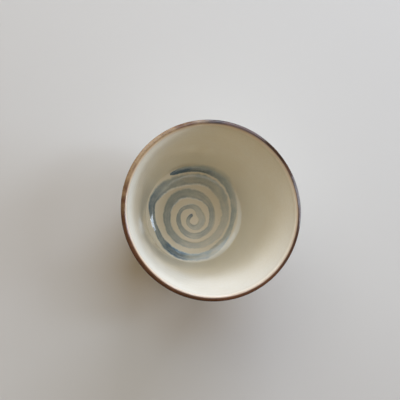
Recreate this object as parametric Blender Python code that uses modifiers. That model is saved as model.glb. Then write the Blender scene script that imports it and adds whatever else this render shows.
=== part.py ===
"""A soba choko: a small tapered stoneware cup with a brushed spiral on its floor.

The cup is one turned clay body and the coats fired onto it: a milky glaze inside, the same
glaze outside and in the well under the foot, an iron-brown band over the lip, and a spiral
brushed in blue-grey on the inside floor. The foot ring stays bare. The axis is +Z and the
origin is the centre of the foot ring's standing face. Lengths are in metres.
"""

import math

import bmesh
import bpy
from mathutils import Matrix, Vector

MM = 0.001

# The cup over its glaze
MOUTH_DIAMETER = 84.4 * MM
CUP_HEIGHT = 66.0 * MM
LIP_THICKNESS = 2.8 * MM
WALL_THICKNESS = 4.8 * MM
FLOOR_THICKNESS = 5.6 * MM
FLOOR_RISE_WIDTH = 3.2 * MM
FLOOR_RISE_DEGREES = 25.7

# The trimmed foot, bare of glaze
FOOT_DIAMETER = 49.0 * MM
FOOT_TAPER = 0.7 * MM
FOOT_RING_WIDTH = 4.4 * MM
FOOT_HEIGHT = 4.2 * MM
SHOULDER_WIDTH = 4.0 * MM
SHOULDER_RISE = 2.4 * MM
WELL_DEPTH = 3.4 * MM
WELL_TAPER = 0.9 * MM

# Roundings, as they are felt on the finished cup
FLOOR_BEND = 7.8 * MM
FLOOR_FILLET = 2.6 * MM
LIP_ROUNDING = 0.7 * MM
HIP_ROUNDING = 4.5 * MM
SHOULDER_FILLET = 0.8 * MM
FOOT_EDGE_ROUNDING = 0.7 * MM
WELL_FILLET = 1.2 * MM

# The coats, and the gap that keeps each one clear of what it lies on
GLAZE_THICKNESS = 0.4 * MM
IRON_THICKNESS = 0.4 * MM
SEAT_GAP = 0.3 * MM

# How far the coats reach, measured along the clay's surface
IRON_INSIDE = 0.6 * MM
IRON_OUTSIDE = 2.4 * MM
BARE_ABOVE_SHOULDER = 2.2 * MM
BARE_INSIDE_FOOT = 2.0 * MM

# The brushed spiral
SPIRAL_FIRST_RADIUS = 1.7 * MM
SPIRAL_START_X = -1.8 * MM
SPIRAL_START_Y = -0.7 * MM
SPIRAL_END_DEGREES = 119.0
SPIRAL_CLIMB = 1.4 * MM
BRUSH_WIDTH = 3.4 * MM
BRUSH_GAP = 1.9 * MM
BRUSH_THICKNESS = 0.35 * MM
BRUSH_WOBBLE = 0.22 * MM
WOBBLES_PER_TURN = 2.3
BREATHS_PER_TURN = 1.7
BREATH_SHARE = 0.06
TIP_SHARE = 0.35
SWELL_SHARE = 0.25
LIFT_SHARE = 0.08
EDGE_SHARE = 0.3

# Facets
TURN_STEPS = 48
ARC_STEP_DEGREES = 20.0
LEG_SHARE = 0.48
BRUSH_STEPS_PER_TURN = 28
BRUSH_STRIPS = 4
EDGE_ROLL_STEPS = 3

COLOURS = {
    "stoneware": ((0.50, 0.40, 0.31), 0.80),
    "milk_glaze": ((0.76, 0.74, 0.66), 0.18),
    "iron_glaze": ((0.10, 0.045, 0.025), 0.22),
    "brushed_blue": ((0.16, 0.21, 0.26), 0.25),
}


def make_material(name):
    """A Principled material with this finish's colour and roughness."""
    colour, roughness = COLOURS[name]
    material = bpy.data.materials.new(name)
    material.use_nodes = True
    shader = material.node_tree.nodes["Principled BSDF"]
    shader.inputs["Base Color"].default_value = (*colour, 1.0)
    shader.inputs["Roughness"].default_value = roughness
    shader.inputs["Metallic"].default_value = 0.0
    return material


def corner_arc(before, here, after, fillet):
    """Points of the arc that rounds a corner, its fillet limited to what the legs beside it hold."""
    back = (before - here).normalized()
    ahead = (after - here).normalized()
    half = back.angle(ahead) / 2
    room = LEG_SHARE * min((before - here).length, (after - here).length)
    reach = min(fillet / math.tan(half), room)
    centre = here + (back + ahead).normalized() * (reach / math.cos(half))
    spoke = here + back * reach - centre
    sweep = math.copysign(math.pi - 2 * half, -back.cross(ahead))
    steps = max(2, round(abs(math.degrees(sweep)) / ARC_STEP_DEGREES))
    return [centre + Matrix.Rotation(sweep * step / steps, 2) @ spoke for step in range(steps + 1)]


def rounded(corners):
    """The line through named corners (name, radius, height, fillet), with each corner rounded.

    Returns its points as (radius, height) and, by name, how far along the line each corner lies.
    """
    places = [Vector((radius, height)) for _, radius, height, _ in corners]
    points = [places[0]]
    marks = {}
    for index in range(1, len(corners) - 1):
        name, _, _, fillet = corners[index]
        arc = corner_arc(places[index - 1], places[index], places[index + 1], fillet)
        arc_start = line_length(points + arc[:1])
        points += arc
        marks[name] = (arc_start + line_length(points)) / 2
    return points + [places[-1]], marks


def line_length(points):
    """How long the line through these points is."""
    return sum((after - before).length for before, after in zip(points, points[1:]))


def moved_out(points, distance):
    """The line moved this far to its left, which is the open side of the clay."""
    moved = []
    for index, point in enumerate(points):
        before = points[max(index - 1, 0)]
        after = points[min(index + 1, len(points) - 1)]
        legs = [leg.normalized() for leg in (point - before, after - point) if leg.length > 0]
        normals = [Vector((-leg.y, leg.x)) for leg in legs]
        middle = sum(normals, Vector((0.0, 0.0))).normalized()
        moved.append(point + middle * (distance / middle.dot(normals[0])))
    return moved


def stretch(points, start, end):
    """The part of the line between two distances along it."""
    kept = []
    reached = 0.0
    for before, after in zip(points, points[1:]):
        leg = (after - before).length
        for place in (start, end):
            if reached < place < reached + leg:
                kept.append((place, before.lerp(after, (place - reached) / leg)))
        if start <= reached <= end:
            kept.append((reached, before))
        reached += leg
    if end >= reached:
        kept.append((reached, points[-1]))
    return [point for _, point in sorted(kept, key=lambda pair: pair[0])]


def clay_line():
    """The clay's outline on one side of the axis: from the middle of the inside floor, up the
    inner wall, over the lip, down the outer wall, round the foot and in to the middle of the well."""
    glaze_coat = SEAT_GAP + GLAZE_THICKNESS
    iron_coat = SEAT_GAP + IRON_THICKNESS
    lip_top = CUP_HEIGHT - iron_coat
    lip_outside = MOUTH_DIAMETER / 2 - iron_coat
    lip_inside = lip_outside - (LIP_THICKNESS - 2 * iron_coat)
    foot_outside = FOOT_DIAMETER / 2
    hip_radius = foot_outside + SHOULDER_WIDTH - glaze_coat
    hip_height = FOOT_HEIGHT + SHOULDER_RISE
    floor_height = WELL_DEPTH + FLOOR_THICKNESS - glaze_coat
    rise = (floor_height - hip_height) / (lip_top - hip_height)
    wall_at_floor = hip_radius + (lip_outside - hip_radius) * rise
    floor_radius = wall_at_floor - (WALL_THICKNESS - 2 * glaze_coat)
    wall_lean = (lip_inside - floor_radius) / (lip_top - floor_height)
    rise_slope = math.tan(math.radians(FLOOR_RISE_DEGREES))
    rise_start = floor_radius - FLOOR_RISE_WIDTH
    rise_run = FLOOR_RISE_WIDTH / (1 - wall_lean * rise_slope)
    foot_inside = foot_outside - FOOT_TAPER - FOOT_RING_WIDTH
    return rounded(
        [
            ("floor_middle", 0.0, floor_height, 0.0),
            ("floor_bend", rise_start, floor_height, FLOOR_BEND + glaze_coat),
            (
                "floor_edge",
                rise_start + rise_run,
                floor_height + rise_run * rise_slope,
                FLOOR_FILLET + glaze_coat,
            ),
            ("lip_inside", lip_inside, lip_top, LIP_ROUNDING),
            ("lip_outside", lip_outside, lip_top, LIP_ROUNDING),
            ("hip", hip_radius, hip_height, HIP_ROUNDING),
            ("shoulder", foot_outside, FOOT_HEIGHT, SHOULDER_FILLET),
            ("foot_outside", foot_outside - FOOT_TAPER, 0.0, FOOT_EDGE_ROUNDING),
            ("foot_inside", foot_inside, 0.0, FOOT_EDGE_ROUNDING),
            ("well_edge", foot_inside - WELL_TAPER, WELL_DEPTH + glaze_coat, WELL_FILLET + glaze_coat),
            ("well_middle", 0.0, WELL_DEPTH + glaze_coat, 0.0),
        ]
    )


def roll(top, base, tip):
    """Points of the quarter round that a coat's free edge makes from its top down to its tip."""
    angles = [math.pi / 2 * step / EDGE_ROLL_STEPS for step in range(1, EDGE_ROLL_STEPS)]
    return [base + (top - base) * math.cos(angle) + (tip - base) * math.sin(angle) for angle in angles]


def coat_line(line, start, end, thickness, roll_start=False, roll_end=False):
    """The outline of a coat over this stretch of the clay's line, and whether it meets the axis."""
    seat = moved_out(stretch(line, start, end), SEAT_GAP)
    full_depth = stretch(line, start + thickness * roll_start, end - thickness * roll_end)
    base = moved_out(full_depth, SEAT_GAP)
    surface = moved_out(full_depth, SEAT_GAP + thickness)
    if roll_end:
        surface = surface + roll(surface[-1], base[-1], seat[-1])
    if roll_start:
        surface = roll(surface[0], base[0], seat[0])[::-1] + surface
    if seat[-1].x == 0.0:
        return seat[::-1] + surface, True
    return surface + seat[::-1], seat[0].x == 0.0


def turned(name, outline, meets_axis, material, collection):
    """A solid of revolution about Z from an outline of (radius, height) points."""
    mesh = bpy.data.meshes.new(name)
    edges = [(index, index + 1) for index in range(len(outline) - 1)]
    if not meets_axis:
        edges.append((len(outline) - 1, 0))
    mesh.from_pydata([(point.x, 0.0, point.y) for point in outline], edges, [])
    mesh.materials.append(material)
    piece = bpy.data.objects.new(name, mesh)
    collection.objects.link(piece)
    screw = piece.modifiers.new("Turn on the wheel", "SCREW")
    screw.axis = "Z"
    screw.angle = 2 * math.pi
    screw.steps = TURN_STEPS
    screw.render_steps = TURN_STEPS
    screw.use_merge_vertices = True
    screw.merge_threshold = 0.00001
    screw.use_smooth_shade = True
    return piece


def height_at(line, radius):
    """How high the line runs where it first reaches this radius."""
    for before, after in zip(line, line[1:]):
        if before.x <= radius <= after.x:
            return before.y + (after.y - before.y) * (radius - before.x) / (after.x - before.x)
    raise ValueError("the brush mark runs past the inner wall")


def radius_at(line, height):
    """How far out the line is where it first rises to this height."""
    for before, after in zip(line, line[1:]):
        if before.y < height <= after.y:
            return before.x + (after.x - before.x) * (height - before.y) / (after.y - before.y)
    raise ValueError("the inner wall ends below this height")


def brush_path(reach):
    """The spiral from its middle out to this radius: places, directions to the left and half widths.

    The stroke starts a little off the cup's middle, swells from its tip, breathes as the cup
    turns, and lifts off at the end.
    """
    outer = reach - BRUSH_WIDTH / 2 - BRUSH_WOBBLE
    turns = (outer - SPIRAL_FIRST_RADIUS) / (BRUSH_WIDTH + BRUSH_GAP)
    count = round(turns * BRUSH_STEPS_PER_TURN)
    start = Vector((SPIRAL_START_X, SPIRAL_START_Y))
    places = []
    halves = []
    for index in range(count + 1):
        along = index / count
        angle = math.radians(SPIRAL_END_DEGREES) - (1 - along) * turns * 2 * math.pi
        wobble = BRUSH_WOBBLE * math.sin(WOBBLES_PER_TURN * angle) * along
        radius = SPIRAL_FIRST_RADIUS + (outer - SPIRAL_FIRST_RADIUS) * along + wobble
        places.append(start * (1 - along) + radius * Vector((math.cos(angle), math.sin(angle))))
        pressed = min(1.0, along / SWELL_SHARE, (1 - along) / LIFT_SHARE)
        breath = 1 - BREATH_SHARE * (1 - math.sin(BREATHS_PER_TURN * angle))
        halves.append(BRUSH_WIDTH / 2 * (TIP_SHARE + (1 - TIP_SHARE) * pressed) * breath)
    path = []
    for index, place in enumerate(places):
        heading = places[min(index + 1, count)] - places[max(index - 1, 0)]
        path.append((place, Vector((-heading.y, heading.x)).normalized(), halves[index]))
    return path


def brushed_spiral(seat, material, collection):
    """The spiral mark: a strip laid along the brush's path, down on the floor and up into its fillet."""
    path = brush_path(radius_at(seat, seat[0].y + SPIRAL_CLIMB))
    steps = len(path) - 1
    strip = bmesh.new()
    bmesh.ops.create_grid(strip, x_segments=steps, y_segments=BRUSH_STRIPS, size=0.5)
    crown = strip.verts.layers.deform.new()
    for vertex in strip.verts:
        place, left, half = path[round((vertex.co.x + 0.5) * steps)]
        across = 2 * vertex.co.y
        spot = place + left * (half * across)
        vertex.co = (spot.x, spot.y, height_at(seat, spot.length))
        vertex[crown][0] = 1 - across**2
    mesh = bpy.data.meshes.new("brushed_spiral")
    strip.to_mesh(mesh)
    strip.free()
    mesh.shade_smooth()
    mesh.materials.append(material)
    piece = bpy.data.objects.new("brushed_spiral", mesh)
    piece.vertex_groups.new(name="crown")
    collection.objects.link(piece)
    solidify = piece.modifiers.new("Body of the pigment", "SOLIDIFY")
    solidify.thickness = BRUSH_THICKNESS
    solidify.offset = 1.0
    solidify.vertex_group = "crown"
    solidify.thickness_vertex_group = EDGE_SHARE
    return piece


def main():
    for leftover in list(bpy.data.objects):
        bpy.data.objects.remove(leftover)
    cup = bpy.data.collections.new("soba_choko")
    bpy.context.scene.collection.children.link(cup)
    finish = {name: make_material(name) for name in COLOURS}

    line, marks = clay_line()
    crown = (marks["lip_inside"] + marks["lip_outside"]) / 2
    iron_start = crown - IRON_INSIDE
    iron_end = crown + IRON_OUTSIDE
    inner_end = iron_start - SEAT_GAP
    outer_start = iron_end + SEAT_GAP
    outer_end = marks["shoulder"] - BARE_ABOVE_SHOULDER
    well_start = marks["foot_inside"] + BARE_INSIDE_FOOT
    well_end = line_length(line)

    turned("clay_body", line, True, finish["stoneware"], cup)
    inner = coat_line(line, 0.0, inner_end, GLAZE_THICKNESS)
    turned("inner_glaze", *inner, finish["milk_glaze"], cup)
    outer = coat_line(line, outer_start, outer_end, GLAZE_THICKNESS, roll_end=True)
    turned("outer_glaze", *outer, finish["milk_glaze"], cup)
    well = coat_line(line, well_start, well_end, GLAZE_THICKNESS, roll_start=True)
    turned("foot_well_glaze", *well, finish["milk_glaze"], cup)
    rim = coat_line(line, iron_start, iron_end, IRON_THICKNESS)
    turned("iron_rim_band", *rim, finish["iron_glaze"], cup)

    floor_seat = moved_out(stretch(line, 0.0, inner_end), 2 * SEAT_GAP + GLAZE_THICKNESS)
    brushed_spiral(floor_seat, finish["brushed_blue"], cup)


main()
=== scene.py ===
import math

import bmesh
import bpy
from bpy.props import FloatProperty, FloatVectorProperty, IntProperty, PointerProperty
from mathutils import Matrix, Vector


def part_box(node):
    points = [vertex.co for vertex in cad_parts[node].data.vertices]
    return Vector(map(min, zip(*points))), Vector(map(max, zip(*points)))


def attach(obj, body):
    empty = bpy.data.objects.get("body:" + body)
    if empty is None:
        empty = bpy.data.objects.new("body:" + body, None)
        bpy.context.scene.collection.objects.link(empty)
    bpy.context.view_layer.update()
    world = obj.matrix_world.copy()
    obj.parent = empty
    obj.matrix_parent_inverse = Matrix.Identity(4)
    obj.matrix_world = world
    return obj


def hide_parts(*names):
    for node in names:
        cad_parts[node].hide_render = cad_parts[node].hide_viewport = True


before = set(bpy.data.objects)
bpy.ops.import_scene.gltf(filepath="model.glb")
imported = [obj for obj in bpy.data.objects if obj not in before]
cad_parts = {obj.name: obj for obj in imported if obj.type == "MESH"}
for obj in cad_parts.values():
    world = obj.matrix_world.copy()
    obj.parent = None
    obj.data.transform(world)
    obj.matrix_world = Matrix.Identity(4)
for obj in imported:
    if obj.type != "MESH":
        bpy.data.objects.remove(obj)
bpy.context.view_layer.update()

bl_info = {
    "name": "Soba choko cup",
    "version": (1, 0, 0),
    "blender": (4, 5, 0),
    "location": "View3D > Sidebar > Soba choko",
    "description": "Turns, glazes and brushes a soba choko cup around its packed frame",
    "category": "Add Mesh",
}

MM = 0.001
CLAY_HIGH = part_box("clay_body")[1]
INNER_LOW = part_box("inner_glaze")[0]
OUTER_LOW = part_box("outer_glaze")[0]
WELL_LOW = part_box("foot_well_glaze")[0]
WELL_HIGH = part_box("foot_well_glaze")[1]
RIM_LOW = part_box("iron_rim_band")[0]

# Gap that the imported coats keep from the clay
SEAT_GAP = 0.3 * MM
# How closely a coat's back follows the clay here
SEAT_LIFT = 0.02 * MM
# Longest edge left in a profile before it is turned
PROFILE_EDGE = 1.6 * MM
IRON_PROFILE_EDGE = PROFILE_EDGE / 8
ROUNDING_STEPS = 8
MERGE_REACH = 0.001 * MM
SHARP_DEGREES = 40.0

# Roundings of the clay's corners
FLOOR_BEND_ROUNDING = 8.4 * MM
FLOOR_EDGE_ROUNDING = 2.0 * MM
LIP_ROUNDING = 0.69 * MM
HIP_ROUNDING = 4.5 * MM
SHOULDER_ROUNDING = 0.8 * MM
FOOT_ROUNDING = 0.7 * MM
WELL_ROUNDING = 1.9 * MM

# What the hand leaves: how far the middle of the inside floor lies off the axis, how far the mouth
# is pressed in and where it is narrowest, the throwing ridges, and the waves of the lip
FLOOR_DRIFT = Vector((-0.9 * MM, 0.0, 0.0))
MOUTH_PRESS = 0.92 * MM
MOUTH_NARROW_TURN = math.radians(45)
RIDGE_PITCH = 4.6 * MM
RIDGE_DEPTH = 0.03 * MM
RIDGES_FROM = 14 * MM
RIDGES_FADE_IN = 10 * MM
RIDGES_BELOW_LIP = 5 * MM
RIDGES_FADE_OUT = 8 * MM
# Nearer to the axis than this, a point is pulled in less
STEADY_RADIUS = 20 * MM
LIP_DROOP = 0.10 * MM
LIP_WAVES = 3
LIP_WAVE_START = 0.7
LIP_DROOP_POWER = 4

# How a coat thins at its free edge, and over what length the iron fades
EDGE_LEAST_SHARE = 0.02
GLAZE_EDGE_ROLL = 0.5 * MM
IRON_EDGE_ROLL = 0.3 * MM
IRON_FADE_INSIDE = 1.4 * MM
IRON_FADE_OUTSIDE = 0.5 * MM

# The brush's way over the floor, as read off: degrees turned from +X, reach from the cup's axis in
# millimetres, width of the stroke in millimetres, how loaded with pigment the brush is, and how far
# the side towards the wall is washed out
BRUSH_STATIONS = (
    (189, 1.3, 1.6, 0.85, 0.0),
    (201, 2.7, 2.1, 0.72, 0.0),
    (214, 4.2, 2.3, 0.48, 0.0),
    (234, 5.7, 2.5, 0.35, 0.0),
    (270, 6.5, 3.3, 0.33, 0.0),
    (315, 4.7, 4.2, 0.29, 0.0),
    (360, 2.4, 4.6, 0.26, 0.0),
    (411, 2.3, 4.2, 0.29, 0.0),
    (457, 3.6, 3.5, 0.33, 0.0),
    (493, 5.2, 2.7, 0.40, 0.0),
    (522, 7.1, 2.3, 0.54, 0.0),
    (555, 8.7, 2.7, 0.60, 0.0),
    (617, 10.7, 3.6, 0.40, 0.0),
    (675, 9.7, 3.5, 0.42, 0.45),
    (715, 8.6, 3.7, 0.50, 0.6),
    (758, 8.6, 3.9, 0.46, 0.35),
    (810, 9.9, 5.8, 0.37, 0.0),
    (851, 12.6, 5.9, 0.48, 0.0),
    (900, 14.1, 4.6, 0.59, 0.0),
    (944, 15.1, 4.5, 0.50, 0.0),
    (990, 15.4, 4.0, 0.31, 0.0),
    (1036, 14.8, 4.5, 0.25, 0.2),
    (1090, 15.1, 5.2, 0.29, 0.1),
    (1115, 16.1, 6.2, 0.32, 0.0),
    (1144, 17.2, 6.8, 0.36, 0.0),
    (1194, 18.3, 7.1, 0.38, 0.0),
    (1225, 20.9, 6.4, 0.55, 0.0),
    (1246, 22.2, 4.4, 0.92, 0.0),
    (1262, 21.4, 3.3, 0.76, 0.0),
    (1283, 20.7, 3.0, 0.66, 0.0),
    (1301, 21.1, 4.1, 0.88, 0.0),
    (1328, 21.5, 4.7, 0.92, 0.0),
    (1342, 21.3, 4.1, 0.48, 0.0),
    (1367, 20.8, 4.4, 0.36, 0.25),
    (1385, 19.6, 4.4, 0.28, 0.2),
    (1424, 18.7, 3.1, 0.40, 0.2),
    (1460, 20.2, 4.2, 0.44, 0.5),
    (1488, 22.2, 5.3, 0.55, 0.9),
    (1510, 22.9, 5.0, 0.75, 1.0),
    (1530, 22.8, 4.2, 0.98, 1.0),
    (1549, 22.9, 3.4, 1.3, 0.8),
    (1557, 23.0, 2.7, 1.6, 0.35),
    (1563, 23.4, 1.0, 1.5, 0.0),
)
REACH, WIDTH, LOAD, WASH = range(1, 5)
# Where, from the stroke's middle at 0 to its edge at 1, the pigment gathers and feathers out
GATHERED = (0.3, 0.7)
FEATHERED = (0.5, 0.97)
# The part of the stroke's width, 0 towards the wall, that a wash takes, and how much of it goes
WASHED_WIDTH = (0.62, 0.12)
WASHED_SHARE = 0.85
# How much pigment still counts as a thin stroke, and the tint where there is none
THIN_PIGMENT = 0.35
NO_TINT = (1.0, 1.0, 1.0, 1.0)
STROKE_COLUMNS = 900
STROKE_ROWS = 12
PATH_STEP_DEGREES = 1.0

# Where the milky glaze changes: distances from the middle of the inside floor, and heights
POOL_STARTS = (21.8 * MM, 23.2 * MM)
POOL_ENDS = (24.1 * MM, 24.9 * MM)
POOL_UNEVENNESS = 1.6 * MM
POOL_TOP = (11.5 * MM, 13.5 * MM)
ABOVE_FLOOR = (8.0 * MM, 8.6 * MM)
# Over these distances from the middle of the floor the painted shade fades in
FLOOR_SHADE_FADE = (23.0 * MM, 14.0 * MM)
# Between these heights the glaze is painted darker and warmer downwards: painted shade lower in the cup
PAINTED_SHADE_HEIGHTS = (62.0 * MM, 8.0 * MM)
# The paler pool shows only towards this side of the floor, as a painted highlight where light falls on
# the corner
POOL_HIGHLIGHT_SIDE = (0.6, -0.8, 0.0)
POOL_SIDE_REACH = 18.0 * MM
POOL_HIGHLIGHT_SHARE = 0.75

# The sides of the lip, as seen from the axis, where the iron is painted golden as a highlight and dark
# as shade
LIP_REACH = 42 * MM
GOLD_HIGHLIGHT_SIDE = (-0.72 / LIP_REACH, 0.69 / LIP_REACH, 0.0)
DARK_SHADE_SIDE = (0.86 / LIP_REACH, 0.5 / LIP_REACH, 0.0)
GOLD_HIGHLIGHT_STARTS = (0.72, 0.98)
DARK_SHADE_STARTS = (0.1, 0.75)
IRON_UNEVENNESS = 0.12
# How far up from its lower edge the iron outside is thin, and how it takes over from the glaze
IRON_THIN_HEIGHT = 1.0 * MM
IRON_EDGE_COVER = (-0.1, 0.6)
IRON_BODY_COVER = (0.45, 1.0)
IRON_GLOSS = (0.07, 0.16)

# Between these heights the bare clay is toasted more and more
TOAST_HEIGHTS = (1.5 * MM, 5.2 * MM)
CLAY_ROUGHNESS = (0.7, 0.9)
GLAZE_GLOSS = (0.06, 0.12)

# Heights of the small reliefs in the glazes and the clay
GLAZE_PEEL = 0.02 * MM
IRON_PEEL = 0.03 * MM
CLAY_SCORING = 0.08 * MM

# The stage: each lamp's name, degrees round from +X and above the table, and size in metres
LAMPS = (
    ("key", 70, 25, (0.9, 0.25)),
    ("upper_key", 70, 37, (0.9, 0.25)),
    ("side", 120, 22, (0.7, 0.3)),
    ("window", 8, 13, (0.55, 0.2)),
    ("upper_window", 8, 27, (0.55, 0.2)),
    ("sky", 114, 55, (0.95, 0.45)),
    ("glint", 12.5, 54, (0.15, 0.36)),
    ("sheen", -38, 82, (0.3, 0.12)),
    ("veil", 85, 72, (0.6, 0.3)),
)
LAMP_DISTANCE = 1.2
LAMP_AIM = Vector((0.0, 0.0, 0.05))
TABLE_SIZE = 6.0
TABLE_SHADE = (0.5, 0.48, 0.44, 1.0)
TABLE_ROUGHNESS = 0.8
MOUTH_ABOVE_CLAY = 0.7 * MM
CAMERA_AIM = Vector((-5.5 * MM, 4.65 * MM, 0.0))
SENSOR_WIDTH = 36.0


def length(name, description, default):
    """A setting that is a length."""
    return FloatProperty(name=name, description=description, default=default, unit="LENGTH")


def angle(name, description, degrees):
    """A setting that is an angle, given in degrees."""
    return FloatProperty(
        name=name,
        description=description,
        default=math.radians(degrees),
        unit="ROTATION",
        subtype="ANGLE",
    )


def surface_colour(name, description, default):
    """A setting that is the opaque colour of a surface."""
    return FloatVectorProperty(
        name=name, description=description, subtype="COLOR", size=4, default=(*default, 1.0)
    )


def lamp_power(name, description, watts):
    """A setting that is the power of a lamp."""
    return FloatProperty(name=name, description=description, default=watts, unit="POWER")


def lamp_colour(name, description, default):
    """A setting that is the colour of a lamp."""
    return FloatVectorProperty(
        name=name, description=description, subtype="COLOR", size=3, default=default
    )


class SobaChokoShape(bpy.types.PropertyGroup):
    """Sizes of the clay and of the coats on it"""

    lip_height: length("Lip height", "Top of the clay's lip above the table", CLAY_HIGH.z)
    lip_radius: length("Lip radius", "Outside of the clay's lip before it is rounded", 41.5 * MM)
    lip_width: length("Lip width", "Thickness of the clay at the lip", 1.4 * MM)
    floor_height: length(
        "Floor height", "Clay of the inside floor above the table", INNER_LOW.z - SEAT_GAP
    )
    rise_radius: length(
        "Floor rise", "Where the flat of the inside floor bends up towards the wall", 20.9 * MM
    )
    rise_slope: angle(
        "Floor rise slope", "How steeply the edge of the floor rises before it meets the wall", 25.7
    )
    floor_radius: length(
        "Floor radius", "Where the inside wall would meet the floor if both ran on straight", 23.9 * MM
    )
    hip_radius: length("Hip radius", "Foot of the outside wall before it is rounded", 27.8 * MM)
    hip_height: length("Hip height", "Foot of the outside wall above the table", 6.6 * MM)
    foot_radius: length("Foot radius", "Outside of the foot ring where it leaves the body", 24.5 * MM)
    foot_height: length("Foot height", "Top of the trimmed foot ring's outside", 4.2 * MM)
    foot_taper: length("Foot taper", "How much the foot ring narrows towards the table", 0.7 * MM)
    ring_width: length("Ring width", "Width of the standing face", 4.4 * MM)
    well_taper: length("Well taper", "How much the well under the foot narrows upwards", 0.9 * MM)
    well_height: length(
        "Well height", "Clay of the well under the foot above the table", WELL_HIGH.z + SEAT_GAP
    )
    glaze_depth: length("Glaze depth", "Thickness of the milky glaze on the clay", 0.6 * MM)
    iron_depth: length("Iron depth", "Thickness of the iron band on the glaze", 0.09 * MM)
    iron_inner_radius: length(
        "Iron inner edge",
        "Radius at which the iron band ends inside the lip, on the whole",
        39.17 * MM,
    )
    # Painted shade: the band's tan inner edge reaches further in on one side, darkening the lip's lit
    # inner rounding
    iron_shade_dip: length(
        "Iron dip",
        "How much further in the band reaches on the side that was dipped deepest",
        0.25 * MM,
    )
    iron_dip_turn: angle("Iron dip turn", "Where the band was dipped deepest, round from +X", 155)
    turn_steps: IntProperty(
        name="Turn steps",
        description="Steps in one full turn of the wheel",
        default=192,
        min=24,
    )
    stroke_depth: length("Stroke depth", "Thickness of the brushed pigment", 0.05 * MM)


class SobaChokoFinish(bpy.types.PropertyGroup):
    """Colours of the clay, glazes and pigment"""

    milk: surface_colour("Milky glaze", "The glaze where it lies thick", (0.82, 0.79, 0.695))
    # The thin glaze colour gives the random clouding and grain, and also the painted shade lower down
    # the cup
    milk_thin_and_shade: surface_colour("Thin glaze", "The glaze where the clay warms it", (0.755, 0.685, 0.535))
    # Painted shade: the middle of the inside floor, deep in the hollow, gets this darker, warmer colour
    milk_floor_shade: surface_colour(
        "Milky glaze on the floor",
        "Milky glaze in the middle of the inside floor, where it took the most fire",
        (0.615, 0.538, 0.398),
    )
    # Paler glaze pooled in the floor's corner, which on the lower-right side is also a painted highlight
    milk_pool_and_highlight: surface_colour(
        "Pooled glaze", "The glaze gathered in the corner of the floor", (0.84, 0.83, 0.77)
    )
    fleck: surface_colour("Fleck", "Iron flecks that rise through the glaze", (0.42, 0.31, 0.20))
    # Dark iron also paints the shade on the dark side of the lip
    iron_dark_and_shade: surface_colour("Dark iron", "The iron band where it is thick", (0.030, 0.014, 0.009))
    iron_brown: surface_colour("Brown iron", "The iron band's usual brown", (0.14, 0.060, 0.033))
    # Golden iron also paints the highlight on the golden side of the lip
    iron_gold_and_highlight: surface_colour("Golden iron", "The iron band where it breaks thin", (0.36, 0.235, 0.12))
    # The tan edge colour is thin iron running out over the glaze, and also painted shade that keeps the
    # lip's inner rounding from catching light
    iron_edge_and_shade: surface_colour(
        "Iron edge", "The iron where it runs out thin over the milky glaze", (0.56, 0.43, 0.30)
    )
    clay: surface_colour("Stoneware", "The bare fired clay", (0.50, 0.40, 0.31))
    clay_scorch: surface_colour(
        "Scorched stoneware", "The bare clay where the fire toasted it", (0.36, 0.22, 0.13)
    )
    pigment_thin: surface_colour(
        "Thin pigment", "What a thin stroke leaves of the glaze's colour", (0.54, 0.635, 0.74)
    )
    pigment_full: surface_colour(
        "Full pigment", "What a loaded stroke leaves of the glaze's colour", (0.115, 0.205, 0.345)
    )


class SobaChokoStage(bpy.types.PropertyGroup):
    """Camera, light and floor"""

    camera_distance: length("Camera distance", "From the middle of the mouth to the camera", 0.65)
    camera_left: angle("Camera left", "How far the camera leans to -X from the cup's axis", 8.3)
    camera_down: angle("Camera down", "How far the camera leans to -Y from the cup's axis", 2.1)
    camera_lens: FloatProperty(
        name="Camera lens",
        description="Focal length in millimetres on a 36 mm sensor",
        default=128.4,
        unit="CAMERA",
    )
    key_power: lamp_power("Key light", "Power of the large soft light beyond the cup, in watts", 8.7)
    key_colour: lamp_colour("Key colour", "Colour of the large soft light", (0.613, 0.73, 1.0))
    upper_key_power: lamp_power(
        "Upper key light", "Power of the soft light above the key light, in watts", 3.5
    )
    upper_key_colour: lamp_colour(
        "Upper key colour", "Colour of the soft light above the key light", (0.874, 0.92, 1.0)
    )
    side_power: lamp_power(
        "Side light", "Power of the low soft light beyond the cup on the left, in watts", 3.2
    )
    side_colour: lamp_colour(
        "Side colour", "Colour of the low soft light on the left", (0.94, 0.97, 1.0)
    )
    window_power: lamp_power("Window light", "Power of the low cool light on the right, in watts", 7.3)
    window_colour: lamp_colour("Window colour", "Colour of the low cool light", (0.76, 0.855, 1.0))
    upper_window_power: lamp_power(
        "Upper window light", "Power of the cool light above the window light, in watts", 2.3
    )
    upper_window_colour: lamp_colour(
        "Upper window colour", "Colour of the cool light above the window light", (0.452, 0.655, 1.0)
    )
    sky_power: lamp_power(
        "High light",
        "Power of the high soft light that shines on the edge of the floor, in watts",
        2.95,
    )
    sky_colour: lamp_colour("High colour", "Colour of the high soft light", (0.909, 0.963, 1.0))
    glint_power: lamp_power(
        "Glint", "Power of the small light that glints on the wet-looking floor, in watts", 2.05
    )
    glint_colour: lamp_colour(
        "Glint colour", "Colour of the small light that glints on the floor", (0.70, 0.82, 1.0)
    )
    sheen_power: lamp_power(
        "Sheen power",
        "Power of the small light beside the camera that puts a sheen on the floor, in watts",
        0.21,
    )
    sheen_colour: lamp_colour(
        "Sheen colour", "Colour of the small light beside the camera", (0.9, 0.93, 1.0)
    )
    veil_power: lamp_power(
        "Veil", "Power of the high cool light that veils the near side of the floor, in watts", 1.65
    )
    veil_colour: lamp_colour("Veil colour", "Colour of the high cool light", (0.465, 0.72, 1.0))
    fill_strength: FloatProperty(
        name="Fill",
        description="Strength of the even warm light all round",
        default=0.25,
    )
    fill_colour: surface_colour("Fill colour", "Colour of the even light all round", (1.0, 0.62, 0.15))
    floor_colour: surface_colour("Floor colour", "Colour of the plain pale floor", (0.56, 0.54, 0.50))


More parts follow.
